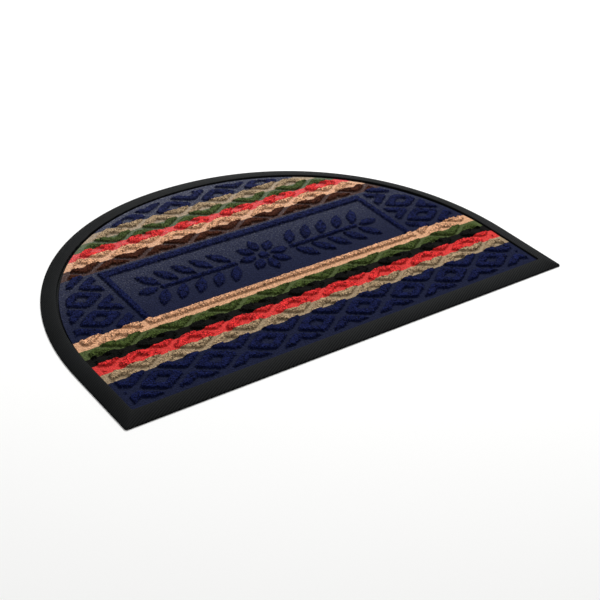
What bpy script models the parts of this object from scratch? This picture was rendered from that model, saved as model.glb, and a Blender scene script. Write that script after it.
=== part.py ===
# Half-round doormat: a moulded rubber tray with a bevelled border, and a pressed pile carpet laid in it.
# Metres, +Z up. The origin is on the underside, at the middle of the mat's length and depth.
# +X runs along the straight front edge, and +Y points from that edge to the top of the arc.

import math

import bmesh
import bpy

# The whole mat
WIDTH = 0.600
DEPTH = 0.400
SIDE_STRAIGHT = 0.100        # each side runs straight for this far before the arc begins
ARC_FULLNESS = 2.1           # exponent of the arc: 2 is an ellipse, more is squarer
ARC_STEPS = 56
CORNER_STEPS = 3
CORNER_RADIUS = 0.0025

# Heights above the floor
TRAY_FLOOR = 0.0018          # the rubber under the carpet
CARPET_GROUND = 0.0036       # the pressed, flat pile between the raised figures
RELIEF_TOP = 0.0066          # the full pile of the raised figures
RELIEF_ROOT = 0.0029         # raised figures start inside the ground, so that the union is solid
PIT_FLOOR = 0.0039           # the middle of a lozenge ring

# The rubber border's width in front, at the sides and at the top of the arc
BORDER_FRONT = 0.0195
BORDER_SIDE = 0.0185
BORDER_TOP = 0.0210

# The border's section, from the outer edge inwards: share of its width, height
BORDER_SECTION = (
    {"share": 0.00, "height": 0.0000},
    {"share": 0.00, "height": 0.0015},
    {"share": 0.22, "height": 0.0033},
    {"share": 0.55, "height": 0.0049},
    {"share": 0.93, "height": 0.0057},
    {"share": 1.00, "height": 0.0055},
)
LIP_DRAFT = 0.0004           # the lip's inner wall leans in by this much on its way down
PIECE_GAP = 0.0003           # clearance between the rubber and the carpet

# The lattice of raised lozenge rings
PITCH_X = 0.0658             # between two rings of a row
PITCH_Y = 0.0213             # between two rows, each set half a pitch sideways
LATTICE_ROW_Y = 0.1255       # a row with a ring on the mat's middle line
LATTICE_MARGIN = 0.0070      # flat ground between the rings and the rubber
GROOVE = 0.0052              # ground between two rings, measured at the ground
WALL_DRAFT = 0.0013          # every raised wall leans in by this much on its way up
RING_STROKE = 0.0062         # width of a ring's top
RING_ROUND = 0.0055          # radius of a ring's rounded corners
PIT_ROUND = 0.0012
PIT_DRAFT = 0.0008           # the wall of a ring's middle leans in by this much on its way down

# The ridge that frames the panel, measured at its foot, and the ground round it that the rings keep out of
FRAME_OUTSIDE = {"half_width": 0.1898, "front": -0.0600, "back": 0.0580}
FRAME_INSIDE = {"half_width": 0.1806, "front": -0.0507, "back": 0.0455}
FRAME_CLEARING = {"half_width": 0.1967, "front": -0.0672, "back": 0.0642}

# The ornament in the panel: a rosette with a leafy branch on each side
ROSETTE_PETALS = 8
ROSETTE_HUB = 0.0070
PETAL = {"length": 0.0240, "width": 0.0140, "start": 0.0100}
LEAF = {"length": 0.0340, "width": 0.0140, "start": 0.0065}
LEAF_LEAN = math.radians(55)
LEAF_PAIRS = 5
LEAF_FIRST_X = 0.0380
LEAF_SPACING = 0.0240
END_LEAF = {"length": 0.0280, "width": 0.0130, "start": 0.0030}
STEM = {"start": 0.0380, "end": 0.1410, "width": 0.0070}
BLADE_STEPS = 6
TIP_DRAFT = 0.0021           # a leaf's pointed ends lean in more than its sides

CUTTER_REACH = 0.001         # how far a cutter goes past what it trims

RUBBER_COLOUR = (0.0160, 0.0168, 0.0173, 1.0)
PILE_COLOUR = (0.0110, 0.0185, 0.0700, 1.0)


def principled(name, colour, roughness, metallic):
    material = bpy.data.materials.new(name)
    material.use_nodes = True
    shader = material.node_tree.nodes["Principled BSDF"]
    shader.inputs["Base Color"].default_value = colour
    shader.inputs["Roughness"].default_value = roughness
    shader.inputs["Metallic"].default_value = metallic
    material.diffuse_color = colour
    return material


def half_round(front, side, top, corner=CORNER_RADIUS):
    """The mat's outline, drawn in by a margin in front, at the sides and at the top of the arc."""
    half = WIDTH / 2 - side
    front_y = -DEPTH / 2 + front
    arc_y = -DEPTH / 2 + SIDE_STRAIGHT
    rise = DEPTH / 2 - top - arc_y
    power = 2 / ARC_FULLNESS
    right = []
    for step in range(CORNER_STEPS + 1):
        turn = math.radians(90) * (step / CORNER_STEPS - 1)
        right.append((half - corner + corner * math.cos(turn), front_y + corner + corner * math.sin(turn)))
    for step in range(ARC_STEPS // 2):
        turn = math.pi * step / ARC_STEPS
        right.append((half * math.cos(turn) ** power, arc_y + rise * math.sin(turn) ** power))
    left = [(-x, y) for x, y in reversed(right)]
    return right + [(0.0, arc_y + rise)] + left


def bordered(share):
    """The outline at a share of the border's width, from 0 at the mat's edge to 1 at the carpet."""
    return half_round(BORDER_FRONT * share, BORDER_SIDE * share, BORDER_TOP * share)


def inside_border(margin):
    return half_round(BORDER_FRONT + margin, BORDER_SIDE + margin, BORDER_TOP + margin)


def rectangle(size, inset=0.0):
    x = size["half_width"] - inset
    front = size["front"] + inset
    back = size["back"] - inset
    return [(x, front), (x, back), (-x, back), (-x, front)]


def lozenge(reach, rounding, tip_steps):
    """A rounded lozenge whose four sides lie at this reach from its middle."""
    slope = math.atan2(PITCH_Y, PITCH_X / 2)
    side_tip = (reach - rounding) / math.sin(slope)
    end_tip = (reach - rounding) / math.cos(slope)
    side_turn = math.pi / 2 - slope
    points = []
    for quarter in range(4):
        wide = quarter % 2 == 0
        facing = quarter * math.pi / 2
        tip = side_tip if wide else end_tip
        swing = side_turn if wide else slope
        steps = tip_steps if wide else 1
        for step in range(steps + 1):
            turn = facing + swing * (2 * step / steps - 1)
            points.append((tip * math.cos(facing) + rounding * math.cos(turn),
                           tip * math.sin(facing) + rounding * math.sin(turn)))
    return points


def blade(size, side_inset=0.0, tip_inset=0.0):
    """A pointed leaf outline along +X, drawn in at its sides and its tips."""
    reach = size["length"] / 2 - tip_inset
    half = size["width"] / 2 - side_inset
    middle = size["start"] + size["length"] / 2
    upper = []
    for step in range(BLADE_STEPS + 1):
        along = 2 * step / BLADE_STEPS - 1
        upper.append((middle - reach * along, half * (1 - along * along)))
    lower = [(2 * middle - x, -y) for x, y in upper]
    return upper[:-1] + lower[:-1]


def placed(points, centre, angle=0.0):
    cos = math.cos(angle)
    sin = math.sin(angle)
    return [(centre[0] + x * cos - y * sin, centre[1] + x * sin + y * cos) for x, y in points]


def loft(bm, sections, closed=False):
    """Walls between outlines with the same number of points, given as (points, height), with flat ends."""
    rings = [[bm.verts.new((x, y, height)) for x, y in points] for points, height in sections]
    pairs = list(zip(rings, rings[1:]))
    if closed:
        pairs.append((rings[-1], rings[0]))
    for lower, upper in pairs:
        for i in range(len(lower)):
            j = (i + 1) % len(lower)
            bm.faces.new((lower[i], lower[j], upper[j], upper[i]))
    if not closed:
        bm.faces.new(list(reversed(rings[0])))
        bm.faces.new(rings[-1])


def new_object(name, bm, collection, material=None):
    bmesh.ops.recalc_face_normals(bm, faces=bm.faces)
    mesh = bpy.data.meshes.new(name)
    bm.to_mesh(mesh)
    bm.free()
    obj = bpy.data.objects.new(name, mesh)
    collection.objects.link(obj)
    if material:
        mesh.materials.append(material)
    return obj


def new_tool(name, bm, collection):
    obj = new_object(name, bm, collection)
    obj.hide_render = True
    obj.display_type = "WIRE"
    return obj


def combine(obj, tool, operation):
    modifier = obj.modifiers.new(operation.lower() + "_" + tool.name, "BOOLEAN")
    modifier.operation = operation
    modifier.object = tool
    modifier.solver = "EXACT"


def make_rubber_base(parts, material):
    bm = bmesh.new()
    sections = [(bordered(row["share"]), row["height"]) for row in BORDER_SECTION]
    sections.append((inside_border(LIP_DRAFT), TRAY_FLOOR))
    loft(bm, sections)
    base = new_object("rubber_base", bm, parts, material)
    base.data.shade_smooth()
    base.data.set_sharp_from_angle(angle=math.radians(35))
    return base


def make_lattice_rings(tools):
    """One body for each ring whose middle lies near the mat: wall up, flat top, wall down to the pit."""
    side_reach = PITCH_X / 2 * PITCH_Y / math.hypot(PITCH_X / 2, PITCH_Y)
    foot = side_reach - GROOVE / 2
    top = foot - WALL_DRAFT
    pit_top = top - RING_STROKE
    pit_foot = pit_top - PIT_DRAFT
    section = (
        (lozenge(foot, RING_ROUND, 2), RELIEF_ROOT),
        (lozenge(top, RING_ROUND - WALL_DRAFT, 2), RELIEF_TOP),
        (lozenge(pit_top, PIT_ROUND, 2), RELIEF_TOP),
        (lozenge(pit_foot, PIT_ROUND / 2, 2), PIT_FLOOR),
    )
    rows = math.ceil(DEPTH / PITCH_Y)
    columns = math.ceil(WIDTH / PITCH_X)
    bm = bmesh.new()
    for row in range(-rows, rows + 1):
        y = LATTICE_ROW_Y + row * PITCH_Y
        for column in range(-columns, columns + 1):
            x = (column + (row % 2) / 2) * PITCH_X
            if abs(x) < WIDTH / 2 - BORDER_SIDE and abs(y) < DEPTH / 2:
                loft(bm, [(placed(points, (x, y)), height) for points, height in section])
    return new_tool("lattice_rings", bm, tools)


def make_lattice_area(tools):
    """The ground that the rings may cover: inside the rubber by a margin."""
    bm = bmesh.new()
    loft(bm, (
        (inside_border(LATTICE_MARGIN), RELIEF_ROOT - CUTTER_REACH),
        (inside_border(LATTICE_MARGIN), CARPET_GROUND),
        (inside_border(LATTICE_MARGIN + WALL_DRAFT), RELIEF_TOP + CUTTER_REACH),
    ))
    return new_tool("lattice_area", bm, tools)


def make_panel_clearing(tools):
    """The block round the framed panel that the rings keep out of."""
    bm = bmesh.new()
    loft(bm, (
        (rectangle(FRAME_CLEARING), RELIEF_ROOT - CUTTER_REACH),
        (rectangle(FRAME_CLEARING), CARPET_GROUND),
        (rectangle(FRAME_CLEARING, -WALL_DRAFT), RELIEF_TOP + CUTTER_REACH),
    ))
    return new_tool("panel_clearing", bm, tools)


def make_frame_ridge(tools):
    bm = bmesh.new()
    loft(bm, (
        (rectangle(FRAME_OUTSIDE), RELIEF_ROOT),
        (rectangle(FRAME_OUTSIDE, WALL_DRAFT), RELIEF_TOP),
        (rectangle(FRAME_INSIDE, -WALL_DRAFT), RELIEF_TOP),
        (rectangle(FRAME_INSIDE), RELIEF_ROOT),
    ), closed=True)
    return new_tool("frame_ridge", bm, tools)


def panel_middle(x=0.0):
    return x, (FRAME_INSIDE["front"] + FRAME_INSIDE["back"]) / 2


def raise_blade(bm, size, centre, angle):
    foot = placed(blade(size), centre, angle)
    top = placed(blade(size, WALL_DRAFT, TIP_DRAFT), centre, angle)
    loft(bm, ((foot, RELIEF_ROOT), (top, RELIEF_TOP)))


def make_rosette(tools):
    bm = bmesh.new()
    centre = panel_middle()
    for petal in range(ROSETTE_PETALS):
        raise_blade(bm, PETAL, centre, 2 * math.pi * petal / ROSETTE_PETALS)
    height = RELIEF_TOP - RELIEF_ROOT
    hub = bmesh.ops.create_cone(bm, cap_ends=True, segments=16, radius1=ROSETTE_HUB,
                                radius2=ROSETTE_HUB - WALL_DRAFT, depth=height)
    bmesh.ops.translate(bm, verts=hub["verts"], vec=(centre[0], centre[1], RELIEF_ROOT + height / 2))
    return new_tool("rosette", bm, tools)


def make_branches(tools):
    """On both sides a stem with pairs of leaves that lean outwards, and one leaf beyond its end."""
    half_length = (STEM["end"] - STEM["start"]) / 2
    bar = {"half_width": half_length, "front": -STEM["width"] / 2, "back": STEM["width"] / 2}
    bm = bmesh.new()
    for side in (1, -1):
        outwards = 0.0 if side > 0 else math.pi
        for pair in range(LEAF_PAIRS):
            root = panel_middle(side * (LEAF_FIRST_X + pair * LEAF_SPACING))
            for lean in (LEAF_LEAN, -LEAF_LEAN):
                raise_blade(bm, LEAF, root, outwards + lean)
        raise_blade(bm, END_LEAF, panel_middle(side * STEM["end"]), outwards)
        stem_middle = panel_middle(side * (STEM["start"] + STEM["end"]) / 2)
        foot = placed(rectangle(bar), stem_middle)
        top = placed(rectangle(bar, WALL_DRAFT), stem_middle)
        loft(bm, ((foot, RELIEF_ROOT), (top, RELIEF_TOP)))
    return new_tool("branches", bm, tools)


def make_carpet(parts, tools, material):
    rings = make_lattice_rings(tools)
    combine(rings, make_lattice_area(tools), "INTERSECT")
    combine(rings, make_panel_clearing(tools), "DIFFERENCE")
    bm = bmesh.new()
    edge = inside_border(LIP_DRAFT + PIECE_GAP)
    loft(bm, ((edge, TRAY_FLOOR + PIECE_GAP), (edge, CARPET_GROUND)))
    carpet = new_object("carpet", bm, parts, material)
    for raised in (rings, make_frame_ridge(tools), make_rosette(tools), make_branches(tools)):
        combine(carpet, raised, "UNION")
    return carpet


def clear_scene():
    for obj in list(bpy.data.objects):
        bpy.data.objects.remove(obj, do_unlink=True)


def new_collection(name):
    collection = bpy.data.collections.new(name)
    bpy.context.scene.collection.children.link(collection)
    return collection


clear_scene()
mat_parts = new_collection("half_round_doormat")
shaping_tools = new_collection("cutters")
make_rubber_base(mat_parts, principled("moulded rubber", RUBBER_COLOUR, 0.62, 0.0))
make_carpet(mat_parts, shaping_tools, principled("polyester pile", PILE_COLOUR, 0.95, 0.0))
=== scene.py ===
# %% [markdown]
# # Dressing a half-round doormat
# The mat has two pieces: a moulded rubber tray with a bevelled border, and a pile carpet pressed into it.
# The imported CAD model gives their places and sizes. This lesson makes both again as fine meshes, gives them
# materials worked out from what rubber and polyester pile are, and lights them in a plain pale studio.

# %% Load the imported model
import math

import bpy
import numpy as np
from mathutils import Matrix, Vector


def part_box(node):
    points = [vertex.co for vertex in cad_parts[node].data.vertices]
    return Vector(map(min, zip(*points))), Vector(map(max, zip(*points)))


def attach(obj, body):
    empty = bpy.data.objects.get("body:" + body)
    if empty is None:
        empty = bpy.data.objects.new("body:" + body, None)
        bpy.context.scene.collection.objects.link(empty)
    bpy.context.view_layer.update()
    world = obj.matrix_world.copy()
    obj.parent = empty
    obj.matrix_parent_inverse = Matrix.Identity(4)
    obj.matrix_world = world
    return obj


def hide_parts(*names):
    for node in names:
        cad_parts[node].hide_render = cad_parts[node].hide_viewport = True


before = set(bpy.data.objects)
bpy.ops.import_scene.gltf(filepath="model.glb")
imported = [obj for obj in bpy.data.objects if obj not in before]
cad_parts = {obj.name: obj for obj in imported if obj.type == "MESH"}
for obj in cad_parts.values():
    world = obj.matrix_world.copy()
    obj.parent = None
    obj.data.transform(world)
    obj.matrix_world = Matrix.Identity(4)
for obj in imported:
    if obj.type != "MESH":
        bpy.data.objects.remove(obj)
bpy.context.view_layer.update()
MM = 0.001

# %% [markdown]
# ## The camera
# A product photographer shoots a mat from above one front corner, with a longish lens so that it keeps its
# shape. The camera could be turned by hand until it fits. Here it is placed by its angles round a target
# point on the floor, because azimuth, elevation, roll and distance say plainly how the picture was taken.

# %% Place the camera
AZIMUTH = math.radians(-38.626)
ELEVATION = math.radians(32.915)
ROLL = math.radians(4.34)
DISTANCE = 1.46263
TARGET = Vector((-0.0171, -0.0993, 0.0))
LENS_MM = 77.62
SENSOR_MM = 36

back = Vector((math.sin(AZIMUTH) * math.cos(ELEVATION),
               -math.cos(AZIMUTH) * math.cos(ELEVATION),
               math.sin(ELEVATION)))
level = Vector((math.cos(AZIMUTH), math.sin(AZIMUTH), 0))
upright = back.cross(level)
right = math.cos(ROLL) * level + math.sin(ROLL) * upright
up = -math.sin(ROLL) * level + math.cos(ROLL) * upright

camera_data = bpy.data.cameras.new("studio_camera")
camera_data.lens = LENS_MM
camera_data.sensor_width = SENSOR_MM
camera = bpy.data.objects.new("studio_camera", camera_data)
turned = Matrix((right, up, back)).transposed().to_4x4()
camera.matrix_world = Matrix.Translation(TARGET + DISTANCE * back) @ turned
bpy.context.collection.objects.link(camera)
bpy.context.scene.camera = camera
print("camera at", [round(v, 3) for v in camera.matrix_world.translation])

# %% [markdown]
# ## Small helpers
# Operators act on whatever is selected, so each piece starts with a clean selection. Colours are written as
# sRGB hex, the way a colour card gives them, and turned to the linear values that a shader needs.

# %% Helpers for selection, colour and nodes
def start_clean():
    """Leaves edit mode and deselects everything."""
    if bpy.context.object and bpy.context.object.mode != "OBJECT":
        bpy.ops.object.mode_set(mode="OBJECT")
    bpy.ops.object.select_all(action="DESELECT")


def linear(hex_colour):
    """Turns an sRGB hex colour into linear red, green, blue and alpha."""
    channels = [int(hex_colour[i:i + 2], 16) / 255 for i in (1, 3, 5)]
    return tuple(c / 12.92 if c <= 0.04045 else ((c + 0.055) / 1.055) ** 2.4 for c in channels) + (1.0,)


def new_material(name):
    material = bpy.data.materials.new(name)
    material.use_nodes = True
    return material, material.node_tree.nodes["Principled BSDF"]


def add_node(material, kind, settings=None, links=None):
    """Adds one node. Settings are its properties or unlinked inputs; links feed its other inputs."""
    node = material.node_tree.nodes.new(kind)
    for key, value in (settings or {}).items():
        if isinstance(key, str) and hasattr(node, key):
            setattr(node, key, value)
        else:
            node.inputs[key].default_value = value
    for key, source in (links or {}).items():
        material.node_tree.links.new(source, node.inputs[key])
    return node


print("mid grey #808080 in linear light:", round(linear("#808080")[0], 3))

# %% [markdown]
# ## The outline
# The mat is a half round: a straight front edge, short straight sides, and an arc a little fuller than a
# circle. The arc could be drawn as a curve. A formula is used instead, because the tray and the carpet both
# need to know how far any point lies inside it.

# %% The mat's outline as a formula
tray_low, tray_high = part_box("rubber_base")
carpet_low, carpet_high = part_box("carpet")
HALF_WIDTH = tray_high.x
FRONT_Y = tray_low.y
BACK_Y = tray_high.y
ARC_Y = FRONT_Y + 100 * MM          # the arc starts where the straight sides end
FULLNESS = 2.1                      # 2 would be a true ellipse
TINY = 1e-6                         # keeps the arc's own centre from dividing by zero


def arc_share(x, y, half_width, back_y):
    """1 on the arc, less inside it, for points behind the start of the arc."""
    across = np.abs(x) / half_width
    along = np.maximum(y - ARC_Y, 0) / (back_y - ARC_Y)
    return (across ** FULLNESS + along ** FULLNESS) ** (1 / FULLNESS)


def depth_inside(x, y, half_width, front_y, back_y):
    """How far a point lies inside the half round."""
    from_arc = np.hypot(x, np.maximum(y - ARC_Y, 0))
    share = np.maximum(arc_share(x, y, half_width, back_y), TINY)
    return np.minimum(from_arc / share - from_arc, y - front_y)


print("outline, mm:", round(2 * HALF_WIDTH / MM, 1), "by", round((BACK_Y - FRONT_Y) / MM, 1))

# %% [markdown]
# ## The rubber tray
# The real tray is pressed in one steel mould: a thin outer edge, a border that rises in a soft curve to a
# lip, and a low wall down to the floor that the carpet lies on. It could be swept along the outline. Here
# it grows from a disc, as by hand: half the disc is cut away, the flat side is pulled forward for the
# straight sides, and the top face is then extruded inwards again and again up the border's curve, over the
# lip and down.

# %% Start the tray from a disc
EDGE_HEIGHT = 1.2 * MM
ARC_SIDES = 240                     # of the whole disc, of which half stays

start_clean()
bpy.ops.mesh.primitive_cylinder_add(vertices=ARC_SIDES, radius=HALF_WIDTH, depth=EDGE_HEIGHT,
                                    location=(0, ARC_Y, EDGE_HEIGHT / 2))
tray = bpy.context.object
tray.name = "rubber_tray"
bpy.ops.object.transform_apply(location=True, rotation=False, scale=False)
bpy.ops.object.mode_set(mode="EDIT")
bpy.ops.mesh.select_all(action="SELECT")
bpy.ops.mesh.bisect(plane_co=(0, ARC_Y, 0), plane_no=(0, 1, 0), use_fill=True, clear_inner=True)
bpy.ops.object.mode_set(mode="OBJECT")
print("half disc:", len(tray.data.vertices), "points")


# %% Select faces and edges by their place or direction
FACING = 0.9                        # a normal with this much of a direction counts as facing it


def select_faces(obj, wanted):
    """Opens the mesh with only the faces selected for which wanted(normal, centre) is true."""
    for element in (*obj.data.vertices, *obj.data.edges):
        element.select = False
    for face in obj.data.polygons:
        face.select = wanted(face.normal, face.center)
    bpy.ops.object.mode_set(mode="EDIT")
    bpy.ops.mesh.select_mode(type="FACE")


def select_edges(obj, wanted):
    """Opens the mesh with only the edges selected for which wanted(first end, second end) is true."""
    points = obj.data.vertices
    for element in (*points, *obj.data.polygons):
        element.select = False
    for edge in obj.data.edges:
        edge.select = wanted(*(points[i].co for i in edge.vertices))
    bpy.ops.object.mode_set(mode="EDIT")
    bpy.ops.mesh.select_mode(type="EDGE")


print("faces towards the front:", sum(face.normal.y < -FACING for face in tray.data.polygons))

# %% Pull the sides forward and round the front corners
CORNER_RADIUS = 2.5 * MM
CORNER_STEPS = 4

select_faces(tray, lambda normal, centre: normal.y < -FACING)
bpy.ops.mesh.extrude_region_move(TRANSFORM_OT_translate={"value": (0, FRONT_Y - ARC_Y, 0)})
bpy.ops.object.mode_set(mode="OBJECT")
select_edges(tray, lambda a, b: a.y < FRONT_Y + MM and b.y < FRONT_Y + MM and abs(a.x - b.x) < MM)
bpy.ops.mesh.bevel(offset=CORNER_RADIUS, segments=CORNER_STEPS, affect="EDGES")
bpy.ops.object.mode_set(mode="OBJECT")
for point in tray.data.vertices:
    if point.co.y > ARC_Y:
        share = float(arc_share(point.co.x, point.co.y, HALF_WIDTH, BACK_Y))
        point.co.x /= share
        point.co.y = ARC_Y + (point.co.y - ARC_Y) / share
print("tray blank:", [round(v / MM, 1) for v in tray.dimensions])

# %% The border's section, from the outer edge to the floor
BORDER = {"front": 19.5 * MM, "side": 18.5 * MM, "back": 21.0 * MM}
LIP_HEIGHT = tray_high.z
FLOOR_HEIGHT = 1.8 * MM
FOOT_SHARE = 0.02                   # the outer edge is rounded over this share of the border's width
FOOT_RISE = 0.3 * MM                # and rises this much there
SLOPE_ROWS = 12
CROWN_SHARE = 0.93                  # the border is highest at this share of its width
SLOPE_POWER = 1.9


def slope_height(share):
    climb = 1 - (1 - share / CROWN_SHARE) ** SLOPE_POWER
    return EDGE_HEIGHT + FOOT_RISE + (LIP_HEIGHT - EDGE_HEIGHT - FOOT_RISE) * climb


# Each row is a share of the border's width and a height: the rounded edge, the slope, the lip and the wall
section = [(0.008, EDGE_HEIGHT + 0.25 * MM)]
for row in range(SLOPE_ROWS + 1):
    share = FOOT_SHARE + (CROWN_SHARE - FOOT_SHARE) * row / SLOPE_ROWS
    section.append((share, slope_height(share)))
section += [(0.965, LIP_HEIGHT - 0.05 * MM), (0.988, LIP_HEIGHT - 0.2 * MM), (1.0, LIP_HEIGHT - 0.55 * MM)]
section.append((1.02, FLOOR_HEIGHT))
print("section rows:", len(section))

# %% Extrude the border up its section, over the lip and down to the floor
SOFT_ANGLE = math.radians(40)       # facets that meet more sharply than this keep their edge

select_faces(tray, lambda normal, centre: normal.z > FACING)
now = {"half": HALF_WIDTH, "front": FRONT_Y, "back": BACK_Y, "height": EDGE_HEIGHT}
for share, height in section:
    new = {"half": HALF_WIDTH - share * BORDER["side"], "front": FRONT_Y + share * BORDER["front"],
           "back": BACK_Y - share * BORDER["back"], "height": height}
    bpy.ops.mesh.extrude_region_move(
        TRANSFORM_OT_translate={"value": (0, new["front"] - now["front"], new["height"] - now["height"])})
    widen = (new["half"] / now["half"], (new["back"] - new["front"]) / (now["back"] - now["front"]), 1)
    bpy.ops.transform.resize(value=widen, center_override=(0, new["front"], height))
    now = new
bpy.ops.object.mode_set(mode="OBJECT")
bpy.ops.object.shade_smooth_by_angle(angle=SOFT_ANGLE)
print("tray:", len(tray.data.polygons), "faces,", [round(v / MM, 1) for v in tray.dimensions], "mm")

# %% [markdown]
# ## The carpet's relief
# The carpet is polyester pile that a hot plate presses flat along the grooves, so that lozenge rings, a
# framed panel and a leafy branch stay at full height. Each figure could be cut out of the surface. Here
# every figure is a formula that gives 1 where the pile stands and 0 where it is pressed, with a soft
# shoulder between them, because pile has no sharp edges, and because the pressed and standing pile also
# differ in colour.

# %% Sizes of the relief
GROUND = 3.6 * MM
RELIEF = carpet_high.z - GROUND
SHOULDER = 1.9 * MM                 # a figure rises from the ground over this width
PITCH_X = 65.8 * MM
PITCH_Y = 21.3 * MM
LATTICE_ROW_Y = 125.5 * MM          # a row with a ring on the middle line
LATTICE_MARGIN = 7.0 * MM           # flat pile between the rings and the rim
GROOVE = 4.8 * MM
RING_STROKE = 10.2 * MM             # from a ring's outer foot to its inner foot
CORNER_POWER = 6                    # how tightly a ring turns its corners
# The frame's outer and inner rectangle, and the one round it that the rings stay out of
FRAME_OUTSIDE = {"half_width": 189.8 * MM, "front": -60.0 * MM, "back": 58.0 * MM}
FRAME_INSIDE = {"half_width": 180.6 * MM, "front": -50.7 * MM, "back": 45.5 * MM}
CLEARING = {"half_width": 196.7 * MM, "front": -67.2 * MM, "back": 64.2 * MM}


def rise(distance):
    """0 outside a figure, 1 well inside it: steep at the foot and round at the crown."""
    return np.sin(np.clip(distance / SHOULDER, 0, 1) * math.pi / 2)


def in_rectangle(x, y, size):
    """How far a point lies inside a rectangle."""
    return np.minimum(size["half_width"] - np.abs(x), np.minimum(y - size["front"], size["back"] - y))


print("relief stands", round(RELIEF / MM, 2), "mm above the pressed pile")


# %% The lozenge rings and the frame
def rings(x, y):
    """The nearest ring's middle comes from counting in two slanted directions, so no loop is needed."""
    slope = math.atan2(PITCH_Y, PITCH_X / 2)
    across = x / (PITCH_X / 2)
    along = (y - LATTICE_ROW_Y) / PITCH_Y
    rising = across + along
    falling = across - along
    rising = rising - 2 * np.round(rising / 2)
    falling = falling - 2 * np.round(falling / 2)
    side_reach = PITCH_Y * math.cos(slope)
    corner = np.abs(rising) ** CORNER_POWER + np.abs(falling) ** CORNER_POWER
    reach = side_reach * corner ** (1 / CORNER_POWER)
    foot = side_reach - GROOVE / 2
    ring = rise(foot - reach) * rise(reach - (foot - RING_STROKE))
    inside = depth_inside(x, y, carpet_high.x, carpet_low.y, carpet_high.y) - LATTICE_MARGIN
    return ring * rise(inside) * rise(-in_rectangle(x, y, CLEARING))


def frame_ridge(x, y):
    """The raised bar between the frame's outer and inner rectangle."""
    return rise(in_rectangle(x, y, FRAME_OUTSIDE)) * (1 - rise(in_rectangle(x, y, FRAME_INSIDE) + SHOULDER))


print("rings repeat every", round(PITCH_X / MM, 1), "mm across and", round(2 * PITCH_Y / MM, 1), "mm along")

# %% [markdown]
# ## The ornament
# The panel carries a rosette with a leafy branch on each side, a common ornament on mats. The leaves could
# be drawn one by one. One leaf formula is turned and moved for every petal and leaf, which keeps them all
# alike.

# %% The rosette and the branches
PANEL_MIDDLE_Y = (FRAME_INSIDE["front"] + FRAME_INSIDE["back"]) / 2
PETALS = 8
HUB_RADIUS = 7.0 * MM
PETAL = {"length": 24 * MM, "width": 14 * MM, "start": 10 * MM}
LEAF = {"length": 34 * MM, "width": 14 * MM, "start": 6.5 * MM}
END_LEAF = {"length": 28 * MM, "width": 13 * MM, "start": 3 * MM}
LEAF_LEAN = math.radians(55)
LEAF_PAIRS = 5
LEAF_FIRST_X = 38 * MM
LEAF_SPACING = 24 * MM
STEM = {"start": 38 * MM, "end": 141 * MM, "width": 7 * MM}


def blade(x, y, size, root_x, angle):
    """A pointed leaf that starts near its root and points along the angle."""
    forward = (x - root_x) * math.cos(angle) + (y - PANEL_MIDDLE_Y) * math.sin(angle)
    aside = -(x - root_x) * math.sin(angle) + (y - PANEL_MIDDLE_Y) * math.cos(angle)
    along = (forward - size["start"]) / size["length"] * 2 - 1
    half_width = size["width"] / 2 * (1 - along * along)
    return rise(half_width - np.abs(aside))


def ornament(x, y):
    """The rosette, and on each side of it a stem with pairs of leaves and an end leaf."""
    raised = rise(HUB_RADIUS - np.hypot(x, y - PANEL_MIDDLE_Y))
    for petal in range(PETALS):
        raised = np.maximum(raised, blade(x, y, PETAL, 0.0, 2 * math.pi * petal / PETALS))
    stem_length = np.minimum(np.abs(x) - STEM["start"], STEM["end"] - np.abs(x))
    stem_width = STEM["width"] / 2 - np.abs(y - PANEL_MIDDLE_Y)
    raised = np.maximum(raised, rise(np.minimum(stem_length, stem_width)))
    for pair in range(LEAF_PAIRS):
        root = LEAF_FIRST_X + pair * LEAF_SPACING
        for lean in (LEAF_LEAN, -LEAF_LEAN):
            raised = np.maximum(raised, blade(np.abs(x), y, LEAF, root, lean))
    return np.maximum(raised, blade(np.abs(x), y, END_LEAF, STEM["end"], 0.0))


def standing_pile(x, y):
    """1 where the pile stands at full height, 0 where it is pressed flat."""
    return np.maximum(np.maximum(rings(x, y), frame_ridge(x, y)), ornament(x, y))


print("ornament:", PETALS, "petals and", 4 * LEAF_PAIRS + 2, "leaves")

# %% [markdown]
# ## The carpet's mesh
# Pile this short reads as one soft surface. A cloth simulation would only flatten it, since it is bonded to
# the tray. So the carpet is a fine grid, trimmed to the half round, raised by the relief's formula and
# roughened into tufts, with its rim then extruded down to the tray's floor. Each point also keeps two
# values for the material: how far the pile stands there, and how high its own tuft ends.

# %% Lay out the grid and trim it to the half round
GRID_STEP = 1.35 * MM               # as fine as the piece can be without growing heavy
JUST_OUTSIDE = 1.0001               # points on the arc itself stay

start_clean()
carpet_size = carpet_high - carpet_low
columns = round(carpet_size.x / GRID_STEP)
rows = round(carpet_size.y / GRID_STEP)
bpy.ops.mesh.primitive_grid_add(x_subdivisions=columns, y_subdivisions=rows, size=1, calc_uvs=False,
                                location=(0, (carpet_low.y + carpet_high.y) / 2, GROUND))
carpet = bpy.context.object
carpet.name = "pile_carpet"
bpy.ops.transform.resize(value=(carpet_size.x, carpet_size.y, 1))
bpy.ops.object.transform_apply(location=True, rotation=False, scale=True)


def read_points(obj):
    points = np.empty(len(obj.data.vertices) * 3)
    obj.data.vertices.foreach_get("co", points)
    return points.reshape(-1, 3)


def write_points(obj, points):
    obj.data.vertices.foreach_set("co", points.ravel())
    obj.data.update()


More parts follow.
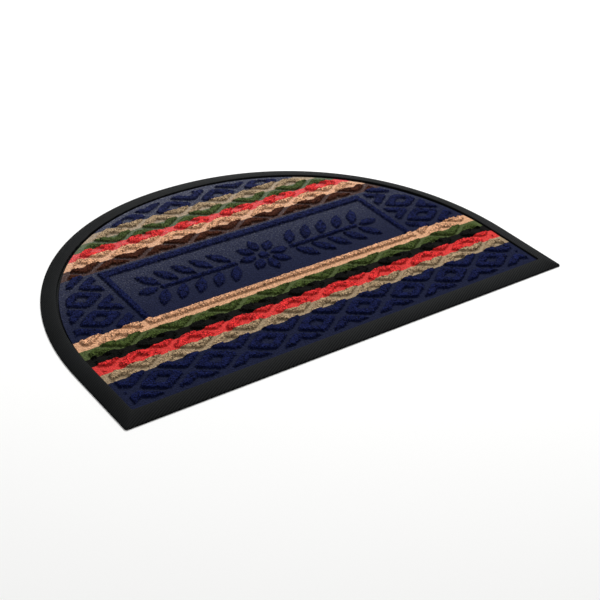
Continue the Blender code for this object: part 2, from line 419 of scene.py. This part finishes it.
points = read_points(carpet)
outside = arc_share(points[:, 0], points[:, 1], carpet_high.x, carpet_high.y) > JUST_OUTSIDE
outside &= points[:, 1] > ARC_Y
for elements in (carpet.data.edges, carpet.data.polygons):
    elements.foreach_set("select", np.zeros(len(elements), dtype=bool))
carpet.data.vertices.foreach_set("select", outside)
bpy.ops.object.mode_set(mode="EDIT")
bpy.ops.mesh.select_mode(type="VERT")
bpy.ops.mesh.delete(type="VERT")
bpy.ops.object.mode_set(mode="OBJECT")
print("grid:", len(carpet.data.polygons), "squares left inside the outline")

# %% Move the stepped rim out onto the arc
edge_of_corner = np.empty(len(carpet.data.loops), dtype=int)
carpet.data.loops.foreach_get("edge_index", edge_of_corner)
rim_edges = np.flatnonzero(np.bincount(edge_of_corner) == 1)
edge_ends = np.empty(len(carpet.data.edges) * 2, dtype=int)
carpet.data.edges.foreach_get("vertices", edge_ends)
rim = np.unique(edge_ends.reshape(-1, 2)[rim_edges])
inner = np.ones(len(carpet.data.vertices), dtype=bool)
inner[rim] = False

points = read_points(carpet)
rim = rim[points[rim, 1] > ARC_Y]
share = arc_share(points[rim, 0], points[rim, 1], carpet_high.x, carpet_high.y)
points[rim, 0] /= share
points[rim, 1] = ARC_Y + (points[rim, 1] - ARC_Y) / share
write_points(carpet, points)
print("rim points moved onto the arc:", len(rim))

# %% Raise the figures and roughen them into tufts
GRID_JITTER = 0.3                   # share of a grid step that points stray sideways
STRAY = 0.7 * MM                    # how far tufts at a figure's edge stray from its line
TUFT_HEIGHT = 1.2 * MM              # how unevenly the standing tufts end
PRESSED_UNEVENNESS = 0.12 * MM      # the same for pressed pile
TUFT_BIAS = 0.7                     # under 1, more tufts end near the top than far below it

random = np.random.default_rng(7)
points = read_points(carpet)
points[inner, :2] += random.uniform(-GRID_JITTER, GRID_JITTER, (inner.sum(), 2)) * GRID_STEP
stray_x, stray_y = random.uniform(-STRAY, STRAY, (2, len(points)))
standing = standing_pile(points[:, 0] + stray_x, points[:, 1] + stray_y)
tuft = random.uniform(0, 1, len(points)) ** TUFT_BIAS
points[:, 2] = GROUND + RELIEF * standing - (1 - tuft) * (PRESSED_UNEVENNESS + TUFT_HEIGHT * standing)
write_points(carpet, points)
for name, values in (("standing", standing), ("tuft", tuft)):
    carpet.data.attributes.new(name, "FLOAT", "POINT").data.foreach_set("value", values)
print("standing pile covers", round(float((standing > 0.5).mean()) * 100), "% of the carpet")

# %% Close the carpet with a rim and an underside
CRISP_ANGLE = math.radians(22)      # facets that meet more sharply than this keep their edge, like tufts

bpy.ops.object.mode_set(mode="EDIT")
bpy.ops.mesh.select_mode(type="EDGE")
bpy.ops.mesh.select_all(action="DESELECT")
bpy.ops.mesh.select_non_manifold(use_wire=False, use_multi_face=False,
                                 use_non_contiguous=False, use_verts=False)
bpy.ops.mesh.extrude_region_move(TRANSFORM_OT_translate={"value": (0, 0, carpet_low.z - GROUND)})
bpy.ops.transform.resize(value=(1, 1, 0), center_override=(0, 0, carpet_low.z))
bpy.ops.mesh.edge_face_add()
bpy.ops.mesh.select_all(action="SELECT")
bpy.ops.mesh.normals_make_consistent(inside=False)
bpy.ops.object.mode_set(mode="OBJECT")
bpy.ops.object.shade_smooth_by_angle(angle=CRISP_ANGLE)
print("carpet:", len(carpet.data.polygons), "faces,", [round(v / MM, 1) for v in carpet.dimensions], "mm")

# %% [markdown]
# ## Moulded rubber
# The tray is filled black rubber from a steel mould, which leaves fine slanted ribs and a grain. It looks
# charcoal where it faces the lamp and nearly black elsewhere. The ribs could be cut into the mesh, but they
# are only tenths of a millimetre deep, so a wave across the border, in tone and in bump, gives the same
# hatching.

# %% The rubber's tone
CLOUD_MM = 60                       # the tone drifts a little over this distance
RIB_MM = 2.4                        # as coarse as needed to show from a step away
ACROSS_RIBS = (-0.45, 0.89, 0.0)    # the ribs run slantwise over the border
RIB_TONE = 0.5                      # the ribs' share of the tone

# Matt charcoal with slanted hatching, which the eye reads as moulded rubber and not as plastic
rubber, rubber_shader = new_material("moulded_black_rubber")
on_tray = add_node(rubber, "ShaderNodeTexCoord").outputs["Object"]
cloudy = add_node(rubber, "ShaderNodeTexNoise", {"Scale": 1 / (CLOUD_MM * MM), "Detail": 2.0},
                  {"Vector": on_tray})
across = add_node(rubber, "ShaderNodeVectorMath", {"operation": "DOT_PRODUCT", 1: ACROSS_RIBS}, {0: on_tray})
turns = add_node(rubber, "ShaderNodeMath", {"operation": "MULTIPLY", 1: 2 * math.pi / (RIB_MM * MM)},
                 {0: across.outputs["Value"]})
ribs = add_node(rubber, "ShaderNodeMath", {"operation": "SINE"}, {0: turns.outputs[0]})
rib_tone = add_node(rubber, "ShaderNodeMath", {"operation": "MULTIPLY_ADD", 1: RIB_TONE},
                    {0: ribs.outputs[0], 2: cloudy.outputs["Fac"]})
tone = add_node(rubber, "ShaderNodeMix", {"data_type": "RGBA", 6: linear("#070808"), 7: linear("#181a1b")},
                {0: rib_tone.outputs[0]})
print("rubber ribs", RIB_MM, "mm apart")

# %% The rubber's grain, relief and finish
GRAIN_MM = 0.9
RIB_DEPTH = 0.4                     # the ribs' share of the relief
RUBBER_RELIEF = 0.3 * MM
RUBBER_GLOSS = 0.04                 # filled rubber throws back very little of the lamp

grain = add_node(rubber, "ShaderNodeTexNoise", {"Scale": 1 / (GRAIN_MM * MM), "Detail": 3.0},
                 {"Vector": on_tray})
rough = add_node(rubber, "ShaderNodeMapRange", {"To Min": 0.58, "To Max": 0.74},
                 {"Value": grain.outputs["Fac"]})
rubber_relief = add_node(rubber, "ShaderNodeMath", {"operation": "MULTIPLY_ADD", 1: RIB_DEPTH},
                         {0: ribs.outputs[0], 2: grain.outputs["Fac"]})
rubber_bump = add_node(rubber, "ShaderNodeBump", {"Strength": 1.0, "Distance": RUBBER_RELIEF},
                       {"Height": rubber_relief.outputs[0]})
rubber_links = rubber.node_tree.links
rubber_links.new(tone.outputs[2], rubber_shader.inputs["Base Color"])
rubber_links.new(rough.outputs["Result"], rubber_shader.inputs["Roughness"])
rubber_links.new(rubber_bump.outputs["Normal"], rubber_shader.inputs["Normal"])
rubber_shader.inputs["Specular IOR Level"].default_value = RUBBER_GLOSS
tray.data.materials.append(rubber)
print("rubber grain", GRAIN_MM, "mm")

# %% [markdown]
# ## Polyester pile
# The pile is dyed in bands across the mat. Standing tufts show their full, deep colour, with painted shade
# in the gaps between them. Pressed pile lies flat, so it shows more of the light backing and looks greyer,
# and towards the arc a painted sheen greys it further. So each band has two colours, and the height of the
# relief chooses between them. The bands could be painted as an image. Ramps along the mat are used instead,
# because they stay sharp at any distance.

# %% The dyes, and the bands from the front edge to the arc
DYES = {
    "navy": {"standing": "#161e4b", "pressed": "#1b2039"},
    "khaki": {"standing": "#bda27f", "pressed": "#a48f73"},
    "red": {"standing": "#fa3c3c", "pressed": "#dc403d"},
    "black": {"standing": "#0d0e0b", "pressed": "#131210"},
    "green": {"standing": "#4c5c2c", "pressed": "#515d37"},
    "peach": {"standing": "#f8bb90", "pressed": "#deaa84"},
    "brown": {"standing": "#4c2513", "pressed": "#42281d"},
}
# Each band ends this many millimetres behind the front edge of the mat
BANDS = (
    (68.8, "navy"), (85.8, "khaki"), (101.8, "red"), (116.8, "black"), (131.3, "green"), (149.0, "peach"),
    (261.8, "navy"), (278.3, "brown"), (295.3, "peach"), (309.3, "red"), (323.8, "green"), (340.3, "khaki"),
    (400.0, "navy"),
)
print("bands:", len(BANDS), "from", len(DYES), "dyes")

# %% Where a point lies along the mat
BAND_WOBBLE_MM = 1.1                # tufts at a band's edge stray this far over it
WOBBLE_SIZE_MM = 3.0
DEPTH = BACK_Y - FRONT_Y

# Soft and dull with ragged bands, which the eye reads as short dyed pile
pile, pile_shader = new_material("dyed_polyester_pile")
on_carpet = add_node(pile, "ShaderNodeTexCoord").outputs["Object"]
where = add_node(pile, "ShaderNodeSeparateXYZ", links={0: on_carpet})
wobble = add_node(pile, "ShaderNodeTexNoise", {"Scale": 1 / (WOBBLE_SIZE_MM * MM), "Detail": 2.0},
                  {"Vector": on_carpet})
shifted = add_node(pile, "ShaderNodeMath", {"operation": "MULTIPLY_ADD", 1: 2 * BAND_WOBBLE_MM * MM},
                   {0: wobble.outputs["Fac"], 2: where.outputs["Y"]})
along = add_node(pile, "ShaderNodeMapRange", {"From Min": FRONT_Y + BAND_WOBBLE_MM * MM,
                                              "From Max": BACK_Y + BAND_WOBBLE_MM * MM},
                 {"Value": shifted.outputs[0]})
print("bands wander by", BAND_WOBBLE_MM, "mm")


# %% The colour of standing and of pressed pile
def band_colours(state):
    """A ramp along the mat with one plain stretch for each band."""
    ramp = add_node(pile, "ShaderNodeValToRGB", links={"Fac": along.outputs["Result"]})
    ramp.color_ramp.interpolation = "CONSTANT"
    stops = ramp.color_ramp.elements
    stops.remove(stops[1])
    start = 0.0
    for until, dye in BANDS:
        stop = stops[0] if start == 0.0 else stops.new(start)
        stop.color = linear(DYES[dye][state])
        start = until * MM / DEPTH
    return ramp.outputs["Color"]


standing_dye = band_colours("standing")
pressed_dye = band_colours("pressed")
print("two ramps of", len(BANDS), "bands")

# %% [markdown]
# Towards the arc the pile meets the back lamp's light at a glancing angle and looks greyer. This is painted
# sheen. The standing tufts show less of it. A paler ramp for each row of the mat could show this. Adding a
# soft grey that grows towards the arc does it with one colour, and flecks break it up where single light
# fibres stray.

# %% The painted sheen and its flecks
# Painted sheen of the back lamp: a grey added to the dye that grows towards the arc, weaker on standing tufts
SHEEN_STARTS = -60 * MM               # from here to the arc, pressed pile shows more and more grey
SHEEN_ENDS = 200 * MM
SHEEN_STRENGTH = 0.27
SHEEN_ON_TIPS = 0.25                  # the share of it that standing tufts show
SHEEN_GREY = "#6f7079"
FLECK_MM = 1.9
FLECK_GREY = "#8d9096"              # stray light fibres in the pressed pile

arc_sheen = add_node(pile, "ShaderNodeMapRange", {"From Min": SHEEN_STARTS, "From Max": SHEEN_ENDS,
                                            "To Max": SHEEN_STRENGTH, "interpolation_type": "SMOOTHSTEP"},
               {"Value": where.outputs["Y"]})
pressed_with_sheen = add_node(pile, "ShaderNodeMix", {"data_type": "RGBA", "blend_type": "ADD", 7: linear(SHEEN_GREY)},
                {0: arc_sheen.outputs["Result"], 6: pressed_dye})
tip_sheen = add_node(pile, "ShaderNodeMath", {"operation": "MULTIPLY", 1: SHEEN_ON_TIPS},
                   {0: arc_sheen.outputs["Result"]})
tips_with_sheen = add_node(pile, "ShaderNodeMix", {"data_type": "RGBA", "blend_type": "ADD", 7: linear(SHEEN_GREY)},
                     {0: tip_sheen.outputs[0], 6: standing_dye})
flecks = add_node(pile, "ShaderNodeTexNoise", {"Scale": 1 / (FLECK_MM * MM), "Detail": 2.0},
                  {"Vector": on_carpet})
fleck = add_node(pile, "ShaderNodeMapRange", {"From Min": 0.52, "From Max": 0.68, "To Max": 2.4},
                 {"Value": flecks.outputs["Fac"]})
# the flecks of stray light fibres show only as far as the painted sheen reaches
fleck_in_sheen = add_node(pile, "ShaderNodeMath", {"operation": "MULTIPLY"},
                      {0: fleck.outputs["Result"], 1: arc_sheen.outputs["Result"]})
flecked = add_node(pile, "ShaderNodeMix", {"data_type": "RGBA", 7: linear(FLECK_GREY)},
                   {0: fleck_in_sheen.outputs[0], 6: pressed_with_sheen.outputs[2]})
print("flecks", FLECK_MM, "mm")

# %% Choose between standing and pressed by the relief's height
height = add_node(pile, "ShaderNodeAttribute", {"attribute_name": "standing"}).outputs["Fac"]
stands = add_node(pile, "ShaderNodeMapRange", {"From Min": 0.05, "From Max": 0.5},
                  {"Value": height}).outputs["Result"]
colour = add_node(pile, "ShaderNodeMix", {"data_type": "RGBA"},
                  {0: stands, 6: flecked.outputs[2], 7: tips_with_sheen.outputs[2]})
print("pile counts as standing from half its height")

# %% [markdown]
# Between the tufts the eye looks down into shade. On the real mat these gaps are tenths of a millimetre wide.
# They could be modelled strand by strand, at millions of faces. Their shade is painted instead, about a
# millimetre wide, as coarse as needed to show from a step away: painted shade round single tufts, more
# open in some places than in others, on low tufts, and on the foot of a figure's wall, where its tufts
# show from the side.

# %% The painted shade in the gaps between the tufts
TUFT_MM = 2.9                       # as coarse as needed to show
GAP_SHARE = 0.24                    # a gap's darkness fades out over this share of a tuft's width
OPENNESS_MM = 5.0                   # gaps widen and close again over this distance

tips = add_node(pile, "ShaderNodeAttribute", {"attribute_name": "tuft"}).outputs["Fac"]
# painted shade on low tufts and along the edges round each tuft
deep = add_node(pile, "ShaderNodeMapRange", {"From Max": 0.5, "To Min": 0.95, "To Max": 0.0}, {"Value": tips})
edges = add_node(pile, "ShaderNodeTexVoronoi", {"Scale": 1 / (TUFT_MM * MM), "feature": "DISTANCE_TO_EDGE"},
                 {"Vector": on_carpet}).outputs["Distance"]
line = add_node(pile, "ShaderNodeMapRange", {"From Max": GAP_SHARE, "To Min": 1.0, "To Max": 0.0},
                {"Value": edges})
openness = add_node(pile, "ShaderNodeTexNoise", {"Scale": 1 / (OPENNESS_MM * MM), "Detail": 2.0},
                    {"Vector": on_carpet})
open_here = add_node(pile, "ShaderNodeMapRange",
                     {"From Min": 0.38, "From Max": 0.6, "To Min": 0.3, "To Max": 1.0},
                     {"Value": openness.outputs["Fac"]})
between = add_node(pile, "ShaderNodeMath", {"operation": "MULTIPLY"},
                   {0: line.outputs["Result"], 1: open_here.outputs["Result"]})
gaps = add_node(pile, "ShaderNodeMath", {"operation": "MAXIMUM"},
                {0: between.outputs[0], 1: deep.outputs["Result"]})
print("tufts", TUFT_MM, "mm apart")

# %% Where the painted shade of the gaps and the walls shows
# Painted shade: the dye is multiplied by a dark brown in the gaps, on low tufts and on the figures' walls
GAP_SHADE_BROWN = "#281e18"               # multiplies the dye, so that a gap is a deep shade of its own colour

lying = add_node(pile, "ShaderNodeMapRange", {"To Min": 0.3, "To Max": 1.0}, {"Value": stands})
gap_shade_here = add_node(pile, "ShaderNodeMath", {"operation": "MULTIPLY"},
                     {0: gaps.outputs[0], 1: lying.outputs["Result"]})
# painted shade on the walls of the figures
side = add_node(pile, "ShaderNodeMapRange", {"From Min": 0.4, "From Max": 0.8, "To Min": 0.6, "To Max": 0.0},
                {"Value": height})
wall_shade_here = add_node(pile, "ShaderNodeMath", {"operation": "MULTIPLY"},
                     {0: side.outputs["Result"], 1: stands})
dark = add_node(pile, "ShaderNodeMath", {"operation": "MAXIMUM"},
                {0: gap_shade_here.outputs[0], 1: wall_shade_here.outputs[0]})
shaded = add_node(pile, "ShaderNodeMix",
                  {"data_type": "RGBA", "blend_type": "MULTIPLY", 7: linear(GAP_SHADE_BROWN)},
                  {0: dark.outputs[0], 6: colour.outputs[2]})
print("gaps darken the dye with", GAP_SHADE_BROWN)

# %% [markdown]
# Bundles of cut fibres catch the light unevenly, some bright and some dull. They are finer than a render
# can show, so the mottle is drawn coarser than life. It could be a second set of tufts in the mesh. A noise
# that brightens and darkens the dye, and swells the same tufts in bump, costs no faces.

# %% The fibres' mottle, and the finished pile
MOTTLE_MM = 1.7
PILE_RELIEF = 1.5 * MM
PILE_ROUGHNESS = 0.95
PILE_GLOSS = 0.05                   # cut fibres scatter light and hardly shine

mottle = add_node(pile, "ShaderNodeTexNoise", {"Scale": 1 / (MOTTLE_MM * MM), "Detail": 3.0},
                  {"Vector": on_carpet})
bright = add_node(pile, "ShaderNodeMapRange",
                  {"From Min": 0.25, "From Max": 0.75, "To Min": 0.55, "To Max": 1.5},
                  {"Value": mottle.outputs["Fac"]})
final = add_node(pile, "ShaderNodeHueSaturation", links={"Color": shaded.outputs[2],
                                                         "Value": bright.outputs["Result"]})
domes = add_node(pile, "ShaderNodeMath", {"operation": "ADD"}, {0: edges, 1: mottle.outputs["Fac"]})
pile_bump = add_node(pile, "ShaderNodeBump", {"Strength": 0.9, "Distance": PILE_RELIEF},
                     {"Height": domes.outputs[0]})
pile_links = pile.node_tree.links
pile_links.new(final.outputs["Color"], pile_shader.inputs["Base Color"])
pile_links.new(pile_bump.outputs["Normal"], pile_shader.inputs["Normal"])
pile_shader.inputs["Roughness"].default_value = PILE_ROUGHNESS
pile_shader.inputs["Specular IOR Level"].default_value = PILE_GLOSS
carpet.data.materials.append(pile)
print("mottle", MOTTLE_MM, "mm")

# %% [markdown]
# ## Hand the pieces over
# Each new piece stands for a solid of the CAD model and rides on the mat's one body. The carpet is cut flat
# to the half round and laid in the tray, so its area is the half round's own.

# The underside's points, in order round the mat, are its cut edge
points = read_points(carpet)

# %% Tie the pieces to the model
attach(tray, "root")
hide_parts("rubber_base")
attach(carpet, "root")
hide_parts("carpet")
print("tied to the model:", tray.name, "and", carpet.name)

# %% [markdown]
# ## The studio
# The mat lies on a plain pale floor under soft light from all round, with one large soft lamp behind it on
# the right. A sun lamp would be as bright, but its shadows are too hard for a studio. The soft lamp leaves
# the near walls of the relief in shade, which is what makes the figures stand out, and a weak one above
# fills them in.

# %% The floor
FLOOR_WIDTH = 12                    # metres, so that its far edge stays out of sight

start_clean()
bpy.ops.mesh.primitive_plane_add(size=FLOOR_WIDTH, location=(0, 0, 0))
floor = bpy.context.object
floor.name = "studio_floor"

# Matt, nearly white paint, which the eye passes over
paint, paint_shader = new_material("pale_floor_paint")
paint_shader.inputs["Base Color"].default_value = linear("#fbfbfa")
paint_shader.inputs["Roughness"].default_value = 0.9
floor.data.materials.append(paint)
print("floor", FLOOR_WIDTH, "m wide")

# %% The lights
ROOM_LIGHT = 0.32                   # white light from all round

world = bpy.data.worlds.new("soft_studio")
world.use_nodes = True
world.node_tree.nodes["Background"].inputs["Color"].default_value = (1.0, 1.0, 1.0, 1.0)
world.node_tree.nodes["Background"].inputs["Strength"].default_value = ROOM_LIGHT
bpy.context.scene.world = world

LAMPS = (
    {"name": "back_softbox", "at": (1.65, 1.75, 2.0), "size": 1.0, "watts": 112},
    {"name": "top_softbox", "at": (-0.3, 0.1, 2.2), "size": 1.4, "watts": 7},
)
for lamp in LAMPS:
    light = bpy.data.lights.new(lamp["name"], "AREA")
    light.shape = "DISK"
    light.size = lamp["size"]
    light.energy = lamp["watts"]
    holder = bpy.data.objects.new(lamp["name"], light)
    holder.location = lamp["at"]
    holder.rotation_euler = (-Vector(lamp["at"])).to_track_quat("-Z", "Y").to_euler()
    bpy.context.collection.objects.link(holder)
bpy.context.scene.view_settings.view_transform = "Standard"
print("lamps:", [lamp["name"] for lamp in LAMPS])
